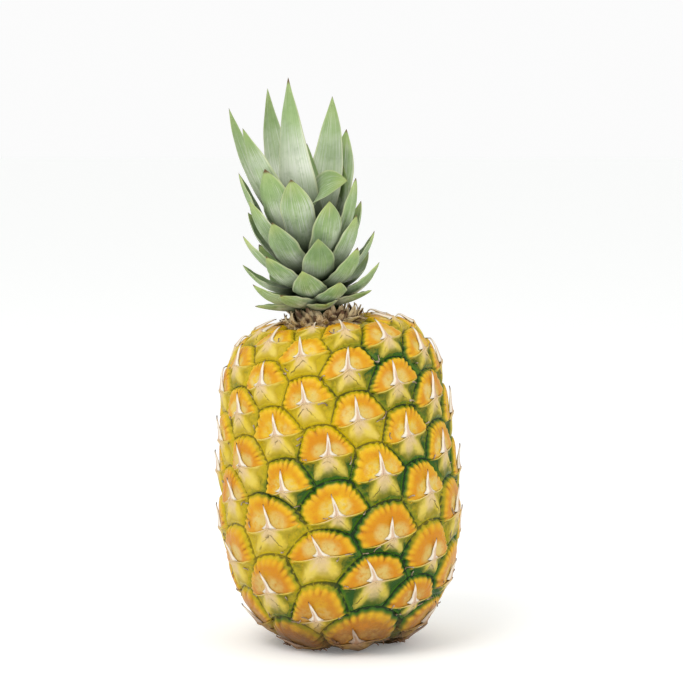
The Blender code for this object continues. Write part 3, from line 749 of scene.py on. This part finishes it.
def bract_finish():
    """Cream at the hub and lighter along the arms and the upper lip, partly the bract's own cream and
    partly a painted highlight on its ridges, yellow to green between them, with a green edge and a few
    fine cracks; the dry skin is pinkish white, browner at its point and in its slit."""
    finish = Finish("pale_bract", roughness=0.6)
    across, over, ring = finish.numbers("bract")
    luck = finish.number("luck")
    arm = finish.number("arm")
    where = finish.place()
    green = greener(finish, where)
    patch = finish.noise(where, 90.0, 3.0)
    fine = finish.noise(where, 520.0, 3.0)
    height = finish.apart(where)[2]
    spine = finish.step(ring, DRY_SKIN - 0.5, DRY_SKIN - 0.4)

    yellow = finish.mix(paint(234, 210, 92), paint(226, 196, 24), finish.step(patch, 0.35, 0.65))
    leafy = finish.mix(paint(196, 184, 56), paint(64, 104, 14), finish.step(ring + fine * 0.5, 0.62, 1.15))
    between = finish.mix(yellow, leafy, finish.step(green + fine * 0.5, 0.35, 1.2))
    # Lighter cream along the arms' ridges and the upper lip: pale bract skin with a painted highlight
    # where the ridges catch the light.
    base = finish.mix(between, finish.mix(yellow, paint(236, 208, 100), 0.5), arm * 0.7)
    aside = finish.maths("ABSOLUTE", across)
    rib = (1 - finish.step(aside, 0.06, 0.26)) * (1 - finish.step(ring, 0.5, 0.85))
    middle = 1 - finish.step(ring + (fine - 0.5) * 0.3, 0.15, 0.6)
    middle = finish.maths("MAXIMUM", middle, rib * 0.8)
    base = finish.mix(base, paint(234, 204, 158), middle * 0.9)
    edge = finish.mix(paint(196, 166, 12), paint(50, 92, 10), finish.step(green + fine * 0.8, 0.5, 1.3))
    base = finish.mix(base, edge, finish.step(ring + patch * 0.2, 0.80, 1.05) * (1 - arm * 0.6))
    fade = finish.step(ring + fine * 0.4 - arm * 0.5, 0.45, 0.95)
    base = finish.mix(base, finish.mix(paint(196, 166, 16), paint(36, 78, 10), green), fade * 0.6)

    crease = finish.maths("ABSOLUTE", across + (luck - 0.5) * 0.2)
    crease = finish.maths("ABSOLUTE", crease + (over + 0.2) * 0.85 + (fine - 0.5) * 0.2)
    crack = (1 - finish.step(crease, 0.0, 0.035)) * finish.step(ring, 0.18, 0.3)
    crack = crack * (1 - finish.step(ring, 0.75, 0.9)) * finish.step(patch, 0.46, 0.58)
    base = finish.mix(base, paint(104, 84, 40), crack * 0.8)

    fold = (1 - finish.step(aside, 0.15, 0.75)) * (1 - finish.step(over, 0.35, 0.8))
    pink = finish.step(fold * 0.8 + fine * 0.4, 0.3, 0.9)
    dry = finish.mix(paint(255, 246, 228), paint(228, 196, 166), pink)
    tip = finish.step(over, 0.72, 1.0)
    dry = finish.mix(dry, paint(132, 90, 46), tip * 0.8)
    slit = 1 - finish.step(finish.maths("ABSOLUTE", across + 0.12), 0.0, 0.12)
    dry = finish.mix(dry, paint(150, 108, 84), slit * finish.step(patch, 0.4, 0.6) * 0.6)
    colour = finish.mix(base, dry, spine)
    # Browner and dark low on the fruit: dried bract skin, and painted shade near the floor.
    foot = 1 - finish.step(height + patch * (16 * MM), 16 * MM, 34 * MM)
    colour = finish.mix(colour, finish.mix(paint(168, 118, 78), paint(84, 52, 32), fine), foot * 0.8)
    finish.feed(
        base_color=colour,
        roughness=fine * 0.3 + 0.42,
        normal=finish.bump(fine - crack * 0.8, 0.3 * MM),
    )
    return finish.material


bracts = make_piece("bracts", *make_bracts())
bracts.data.materials.append(bract_finish())
shell = bracts.modifiers.new("thickness", "SOLIDIFY")
shell.thickness = BRACT_THICKNESS
shell.offset = -1
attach(bracts, "root")

# The cut stalk: the stub of the stem that carried the fruit, cut flat by a knife. Its end shows the
# rings and the coarse fibres of a dry woody stem.


def stalk_finish():
    """Straw and brown, in rings sin(out) that a noise warps, with long dark fibres and a dark bark."""
    finish = Finish("cut_stalk", roughness=0.85)
    where = finish.place()
    x, y, z = finish.apart(where)
    out = (x * x + y * y) ** 0.5
    warp = finish.noise(where, 120.0, 3.0)
    ring = finish.maths("SINE", out * 2600.0 + warp * 5.0) * 0.5 + 0.5
    fibre = finish.noise(finish.stretched(x * 900.0, y * 900.0, z * 60.0), 1.0, 2.0)
    pith = finish.mix(paint(196, 168, 118), paint(150, 118, 70), ring * 0.6 + fibre * 0.4)
    pith = finish.mix(pith, paint(92, 66, 38), finish.step(fibre, 0.58, 0.72))
    pith = finish.mix(pith, paint(104, 82, 48), finish.step(out, 11.0 * MM, 13.0 * MM))
    finish.feed(
        base_color=pith,
        roughness=fibre * 0.2 + 0.7,
        normal=finish.bump(fibre + ring * 0.3, 0.4 * MM),
    )
    return finish.material


stalk_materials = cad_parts["stalk"].data.materials
stalk_materials.clear()
stalk_materials.append(stalk_finish())

# The neck: the last small bracts between fruit and crown never filled out. They are withered, brown
# and curled, and they ring a short plug that sits in the fruit's top.

NECK_RADIUS = 18.5 * MM
NECK_TOP_HEIGHT = 3.6 * MM
NECK_PLUG_DEPTH = 4.0 * MM
NECK_CURLS = 180
CURL_TURN = math.radians(137.508)
OUTER_CURL_ROOT = NECK_RADIUS - 3.0 * MM
INNER_CURL_ROOT = 13.0 * MM
CURL_ROOT_SHIFT = 3.5 * MM
CURL_FOOT = 0.4 * MM
CURL_RISE = 3.0 * MM
CURL_TIP_HALF_WIDTH = 0.15 * MM
NECK_ROUGHNESS = 0.5 * MM
NECK_SHELL = 0.3 * MM


def neck_curl(number, draw):
    """One withered bract: a pointed strip whose slope turns steadily from its root outwards, its
    edges rolled up by roll * a^2. The last ones root further in and stand up, and the others root
    further out towards the right."""
    turn = CURL_TURN * number + draw.uniform(-0.15, 0.15)
    share = number / NECK_CURLS
    v, a = strip(9, 5)
    length = draw.uniform(5.5, 9.5) * MM
    standing = smooth(np.float64(share), 0.45, 0.9)
    start = draw.uniform(-20, 35) * (1 - standing) + draw.uniform(60, 100) * standing
    slope = np.radians(start) + math.radians(draw.uniform(-60, 120)) * (1 - 0.6 * standing) * v
    step = length / (len(v) - 1)
    root = OUTER_CURL_ROOT * (1 - standing) + INNER_CURL_ROOT * standing
    root += CURL_ROOT_SHIFT * max(0.0, math.sin(turn)) * (1 - standing) * draw.uniform(0.2, 1)
    out = root + np.cumsum(np.cos(slope) * step, 0) - step
    up = CURL_FOOT + CURL_RISE * share + np.cumsum(np.sin(slope) * step, 0) - step
    half = draw.uniform(1.3, 2.3) * MM * (1 - v**1.6) ** 0.8 + CURL_TIP_HALF_WIDTH
    twist = draw.uniform(-0.6, 0.6) * v
    roll = draw.uniform(0.2, 0.9) * half * a * a
    side = a * half * np.cos(twist) + draw.uniform(-1.5, 1.5) * MM * v * v
    lift = up + roll + a * half * np.sin(twist)
    x = out * math.sin(turn) + side * math.cos(turn)
    y = -out * math.cos(turn) + side * math.sin(turn)
    return together(x, y, lift), together(a, v, draw.uniform(0, 1))


def make_neck():
    """A plug turned from a profile of radius and height, roughened above by sin(9 t) sin(5 t + 1),
    with the curls standing on it, carried to the top of the fruit."""
    draw = np.random.RandomState(SEED + 2)
    turn = np.linspace(0, 2 * math.pi, 65)[None, :]
    radius = np.array([0, 1, 1, 1, 0.97, 0.9, 0.75, 0.5, 0])[:, None] * NECK_RADIUS
    height = np.array([-1, -1, -0.4, 0, 0, 0, 0, 0, 0])[:, None] * NECK_PLUG_DEPTH
    height = height + np.array([0, 0, 0, 0.3, 0.5, 0.7, 0.85, 0.95, 1])[:, None] * NECK_TOP_HEIGHT
    roughened = (radius > 0.6 * NECK_RADIUS) * (height > 0)
    radius = radius + NECK_ROUGHNESS * np.sin(9 * turn) * np.sin(5 * turn + 1) * roughened
    plug = together(radius * np.sin(turn), -radius * np.cos(turn), height)
    sheets = [(plug, np.full(plug.shape, (0.0, 0.2, 0.5)))]
    sheets += [neck_curl(number, draw) for number in range(NECK_CURLS)]
    points, triangles, corners = joined([sheet(points, curl=values) for points, values in sheets])
    return moved(points, neck_frame()), triangles, corners


def neck_finish():
    """Straw with brown streaks along each bract, some bleached, with dark brown patches."""
    finish = Finish("withered_bract", roughness=0.85)
    across, along, luck = finish.numbers("curl")
    where = finish.place()
    grain = finish.noise(finish.stretched(across * 3.0, along * 1.2, luck * 40.0), 2.2, 3.0)
    patch = finish.noise(where, 160.0, 2.0)
    streak = finish.step(grain + luck * 0.3, 0.36, 0.68)
    colour = finish.mix(paint(160, 112, 68), paint(255, 230, 182), streak)
    bleached = finish.step(luck + patch * 0.5, 0.6, 0.9)
    colour = finish.mix(colour, paint(250, 230, 188), bleached * 0.9)
    dark = finish.step(patch + luck * 0.2, 0.58, 0.70)
    colour = finish.mix(colour, paint(84, 36, 22), dark * 0.85)
    finish.feed(base_color=colour, normal=finish.bump(grain, 0.25 * MM))
    return finish.material


neck = make_piece("withered_neck", *make_neck())
neck.data.materials.append(neck_finish())
shell = neck.modifiers.new("thickness", "SOLIDIFY")
shell.thickness = NECK_SHELL
shell.offset = 0
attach(neck, "root")
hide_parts("neck_bracts")

# The crown: thick channelled leaves on one spiral round a short stem, spread and short below, tall
# and upright in the heart. They are grey-green with a pale bloom, fine streaks along them, and
# yellower, partly dried tips.

CROWN_LEAN = math.radians(8.5)
CROWN_GAP = 0.5 * MM
LEAF_TURN = math.radians(137.1)
FIRST_LEAF_ANGLE = math.radians(8.5)
LOWER_LEAVES = 37
LOWEST_TIP = 7.5 * MM
LEAF_TIP_RISE = 1.23 * MM
LEAF_TIP_QUICKENING = 0.02 * MM
LOWEST_ROOT = 2.8 * MM
LEAF_ROOT_RISE = 0.72 * MM
LEAF_REACH = 31.0 * MM
LEAF_REACH_SWELL = 5.0 * MM
LEAVES_TO_END_OF_SWELL = 27
LOWER_LEAF_WIDTH = 17.0 * MM
LOWER_LEAF_TAPER = 17.0 * MM
LEAF_BOW = 0.22
LEAVES_TO_FULL_BOW = 10
LEAF_BOW_LOSS = 0.003
LEAF_FULLNESS = 2.1
# The heart's leaves: angle round the stem in degrees, then height of tip, reach, width and length
# of taper in millimetres, bow as a share of the length, and twist in degrees
HEART_LEAVES = (
    (-42, 79, 24, 20, 16, 0.12, 0),
    (165, 88, 24, 18, 60, 0.12, 0),
    (52, 67, 31, 24, 17, -0.28, 60),
    (-58, 101, 28.5, 20, 52, 0.04, 25),
    (140, 92, 43, 19, 45, 0.06, 45),
    (-112, 112, 33, 17, 60, 0.08, -20),
    (-150, 119, 19, 18, 62, 0.12, 0),
    (147, 110, 42, 20, 60, 0.06, 25),
    (-25, 123, -5, 24, 90, 0.07, 0),
)
LEAF_CHANNEL = 0.34
LEAF_RIPPLE = 0.25 * MM
LEAF_EDGE_THICKNESS = 0.7 * MM
LEAF_THICKNESS_AT_ROOT = 2.8 * MM
LEAF_THICKNESS_LOSS = 1.7 * MM
LEAF_ROOT_DEPTH = 0.4
LEAF_SWAY = math.radians(4.0)
LEAF_TIP_SWAY = 1.5 * MM
STEM_RADIUS = 12.5 * MM
STEM_HEIGHT = 40.0 * MM
STEM_TAPER = 0.5
LEAF_STATIONS = 1 - np.linspace(1, 0, 30) ** 1.25
LEAF_AROUND = 26


def crown_frame():
    """The crown's own frame: its foot on top of the neck, its Z along the crown's stem."""
    lift = Matrix.Translation((0, 0, NECK_TOP_HEIGHT + CROWN_GAP))
    more = Matrix.Rotation(LEAN_AT_TOP - CROWN_LEAN, 4, "Y")
    low_side = Matrix.Translation((-STEM_RADIUS, 0, 0))
    return neck_frame() @ lift @ low_side @ more @ low_side.inverted()


def leaf_plan(number, draw):
    """Angle round the stem, height of root, height and reach of tip, width, taper, bow and twist."""
    root = LOWEST_ROOT + LEAF_ROOT_RISE * number
    if number >= LOWER_LEAVES:
        turn, tip, reach, width, taper, bow, twist = HEART_LEAVES[number - LOWER_LEAVES]
        sizes = (tip * MM, reach * MM, width * MM, taper * MM)
        return math.radians(turn), root, *sizes, bow, math.radians(twist)
    angle = FIRST_LEAF_ANGLE + LEAF_TURN * number + LEAF_SWAY * draw.uniform(-1, 1)
    tip = LOWEST_TIP + (LEAF_TIP_RISE + LEAF_TIP_QUICKENING * number) * number
    tip += LEAF_TIP_SWAY * draw.uniform(-1, 1)
    swell = math.sin(math.pi * min(1.0, number / LEAVES_TO_END_OF_SWELL))
    reach = LEAF_REACH + LEAF_REACH_SWELL * swell + LEAF_TIP_SWAY * draw.uniform(-1, 1)
    bow = LEAF_BOW * min(1.0, number / LEAVES_TO_FULL_BOW) - LEAF_BOW_LOSS * number
    return angle, root, tip, reach, LOWER_LEAF_WIDTH, LOWER_LEAF_TAPER, bow, 0.0


def leaf_skin(plan, luck):
    """One leaf: its middle runs along a curve of second degree from root to tip, whose control
    point bows outwards. Round it goes a flat lens: across = -cos c, thickness = sin c, lifted by
    channel * across^2 so that the leaf is hollow towards the stem, and turned by twist * s. Over
    the taper's length it narrows to a point as 1 - (1 - left)^fullness."""
    angle, root_height, tip_height, reach, width, taper, bow, twist = plan
    out = np.array([math.sin(angle), -math.cos(angle), 0])
    side = np.array([math.cos(angle), math.sin(angle), 0])
    up = np.array([0, 0, 1.0])
    stem_here = STEM_RADIUS * (1 - STEM_TAPER * root_height / STEM_HEIGHT)
    root = out * stem_here * LEAF_ROOT_DEPTH + up * root_height
    tip = out * reach + up * tip_height
    chord = tip - root
    outward = np.cross(side, chord)
    outward *= 1 if outward @ out >= 0 else -1
    bend = (root + tip) / 2 + outward * 2 * bow
    s = LEAF_STATIONS[:, None]
    spot = root * (1 - s) ** 2 + bend * 2 * s * (1 - s) + tip * s**2
    along = (bend - root) * (1 - s) + (tip - bend) * s
    along /= np.linalg.norm(along, axis=1, keepdims=True)
    inward = np.cross(along, side)
    sine, cosine = np.sin(twist * s), np.cos(twist * s)
    side, inward = side * cosine + inward * sine, inward * cosine - side * sine
    left = np.minimum(1, (1 - s) * np.linalg.norm(chord) / taper)
    half = width / 2 * (1 - (1 - left) ** LEAF_FULLNESS) * (1 + 0.02 * np.sin(17 * s + 20 * luck))
    thick = LEAF_THICKNESS_AT_ROOT - LEAF_THICKNESS_LOSS * s
    c = np.linspace(0, 2 * math.pi, LEAF_AROUND + 1)[None, :]
    across = -np.cos(c)
    ripple = LEAF_RIPPLE * np.sin(30 * s + 9 * luck) * across**3 * smooth(s, 0.2, 0.5) * (1 - s) ** 0.3
    middle = LEAF_CHANNEL * half * across**2 + ripple
    body = LEAF_EDGE_THICKNESS * 0.6 + (thick - LEAF_EDGE_THICKNESS) * np.abs(np.sin(c))
    shut = np.minimum(1, (1 - s) * 14) ** 0.5
    raised = (middle + np.sin(c) * body / 2 * shut)[..., None]
    points = spot[:, None] + side[:, None] * (half * across)[..., None] + inward[:, None] * raised
    return points, together(across, s, np.sin(c))


def make_crown():
    """Every leaf, and the stem: a cone of radius 1 - taper * rise with flat ends."""
    draw = random.Random(SEED)
    lots = np.random.RandomState(SEED + 3).rand(LOWER_LEAVES + len(HEART_LEAVES))
    skins = [(*leaf_skin(leaf_plan(number, draw), luck), luck) for number, luck in enumerate(lots)]
    turn = np.linspace(0, 2 * math.pi, 33)[None, :]
    rise = np.array([0, 0, 0.25, 0.5, 0.75, 1, 1])[:, None]
    wide = STEM_RADIUS * (1 - STEM_TAPER * rise) * np.array([0, 1, 1, 1, 1, 1, 0])[:, None]
    stem = together(wide * np.sin(turn), -wide * np.cos(turn), rise * STEM_HEIGHT)
    skins.append((stem, 0 * stem, 0.5))
    parts = [
        turned_outward(*sheet(points, leaf=values, luck=luck), points[0, 0])
        for points, values, luck in skins
    ]
    points, triangles, corners = joined(parts)
    return moved(points, crown_frame()), triangles, corners


def leaf_finish():
    """Grey-green under a pale bloom that fades towards the tip, streaked along the leaf, mottled and
    shaded in patches, with painted shade dark at the root, pale along the rim and yellower at the tip;
    high in the crown the leaves are painted lighter."""
    finish = Finish("crown_leaf", roughness=0.5)
    across, along, _ = finish.numbers("leaf")
    luck = finish.number("luck")
    where = finish.place()
    shift = luck * 37.0
    streak = finish.noise(finish.stretched(across * 9.0, along * 0.9, shift), 3.0, 3.0)
    hair = finish.noise(finish.stretched(across * 34.0, along * 1.5, shift + 5.0), 3.0, 2.0)
    patch = finish.noise(where, 60.0, 3.0)
    # Painted light: leaves high in the crown get a little more bloom and less of the dark streaks, mottle,
    # painted shade, dark root and yellow tip, so that they read as more brightly lit; the extra bloom is
    # partly their own.
    top_bloom_and_light = finish.step(finish.apart(where)[2], 215 * MM, 262 * MM)
    bloom = (1 - finish.step(along, 0.35, 0.95)) * 0.5 + patch * 0.5 + (streak - 0.5) * 0.8
    bloom = bloom + top_bloom_and_light * 0.1
    green = finish.mix(paint(160, 190, 122), paint(244, 250, 230), finish.step(bloom, 0.3, 0.95))
    green = finish.mix(green, paint(88, 118, 66), finish.step(hair, 0.52, 0.72) * (0.5 - top_bloom_and_light * 0.3))
    mottle = finish.noise(where, 330.0, 3.0)
    green = finish.mix(green, paint(120, 150, 84), finish.step(mottle, 0.5, 0.7) * (0.35 - top_bloom_and_light * 0.2))
    shade = finish.step(finish.noise(where, 45.0, 2.0) + (streak - 0.5) * 0.5, 0.5, 0.66)
    green = finish.mix(green, paint(96, 126, 84), shade * (0.45 - top_bloom_and_light * 0.25))
    pale = finish.step(streak + (patch - 0.5) * 0.6, 0.52, 0.7)
    green = finish.mix(green, paint(250, 252, 242), pale * 0.4)
    rim = finish.step(finish.maths("ABSOLUTE", across), 0.86, 1.0)
    green = finish.mix(green, paint(236, 240, 190), rim * 0.6)
    # Painted shade: each leaf darkens towards its root, where the leaves round it overlap and shade it.
    green = finish.mix(paint(30, 50, 16), green, finish.step(along + top_bloom_and_light * 0.2, 0.1, 0.66))
    tip = finish.step(along + (patch - 0.5) * 0.3, 0.78, 1.02)
    green = finish.mix(green, paint(206, 218, 124), tip * (0.65 - top_bloom_and_light * 0.35))
    dead = finish.step(along + luck * 0.04 + rim * hair * 0.05, 0.99, 1.02)
    green = finish.mix(green, paint(120, 92, 58), dead)
    finish.feed(
        base_color=green,
        roughness=patch * 0.2 + 0.42,
        normal=finish.bump(streak * 0.5 + hair * 0.5, 0.3 * MM),
    )
    return finish.material


crown = make_piece("crown_leaves", *make_crown())
crown.data.materials.append(leaf_finish())
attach(crown, "root")
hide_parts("crown")

# The studio: a pale floor that runs far back, a white surround, and large soft lights, with the
# camera a little above the fruit and looking down at it slightly.

MIDDLE = Vector((0, 0, 0.15))
SOFTBOX_WIDTH = 0.8
FOCAL_LENGTH_PIXELS = 2734
PICTURE_WIDTH_PIXELS = 683
CAMERA_PLACE = (-0.00077, -1.4, 0.290)
CAMERA_DOWNWARD_DEGREES = 5.38

floor = make_piece(
    "floor",
    np.array([[-4.0, -3.0, 0], [4.0, -3.0, 0], [4.0, 9.0, 0], [-4.0, 9.0, 0]]),
    np.array([[0, 1, 2], [0, 2, 3]]),
    {},
)
paper = Finish(
    "studio_paper",
    roughness=0.9,
    base_color=(0.95, 0.96, 0.95, 1),
    emission_color=(1, 1, 1, 1),
    emission_strength=0.12,
)
floor.data.materials.append(paper.material)

scene = bpy.context.scene
surround = bpy.data.worlds.new("surround")
surround.use_nodes = True
sky = surround.node_tree
shed = sky.nodes["Background"]
shed.inputs["Color"].default_value = (1, 1, 1, 1)
shed.inputs["Strength"].default_value = 0.88
seen = sky.nodes.new("ShaderNodeBackground")
seen.inputs["Color"].default_value = (0.97, 0.97, 0.97, 1)
ray, either = sky.nodes.new("ShaderNodeLightPath"), sky.nodes.new("ShaderNodeMixShader")
sky.links.new(ray.outputs["Is Camera Ray"], either.inputs[0])
sky.links.new(shed.outputs[0], either.inputs[1])
sky.links.new(seen.outputs[0], either.inputs[2])
sky.links.new(either.outputs[0], sky.nodes["World Output"].inputs["Surface"])
scene.world = surround


def softbox(name, place, watts):
    """A square light of SOFTBOX_WIDTH that faces the middle of the fruit."""
    light = bpy.data.lights.new(name, "AREA")
    light.size = SOFTBOX_WIDTH
    light.energy = watts
    holder = bpy.data.objects.new(name, light)
    holder.location = place
    holder.rotation_euler = (MIDDLE - Vector(place)).to_track_quat("-Z", "Y").to_euler()
    scene.collection.objects.link(holder)


softbox("key", (-0.6, -0.9, 1.4), 10.5)
softbox("fill", (1.0, -0.9, 0.7), 3.0)

camera = bpy.data.cameras.new("camera")
camera.sensor_width = 36
camera.lens = FOCAL_LENGTH_PIXELS / PICTURE_WIDTH_PIXELS * camera.sensor_width
holder = bpy.data.objects.new("camera", camera)
holder.location = CAMERA_PLACE
holder.rotation_euler = (math.radians(90 - CAMERA_DOWNWARD_DEGREES), 0, 0)
scene.collection.objects.link(holder)
scene.camera = holder
scene.view_settings.view_transform = "Standard"
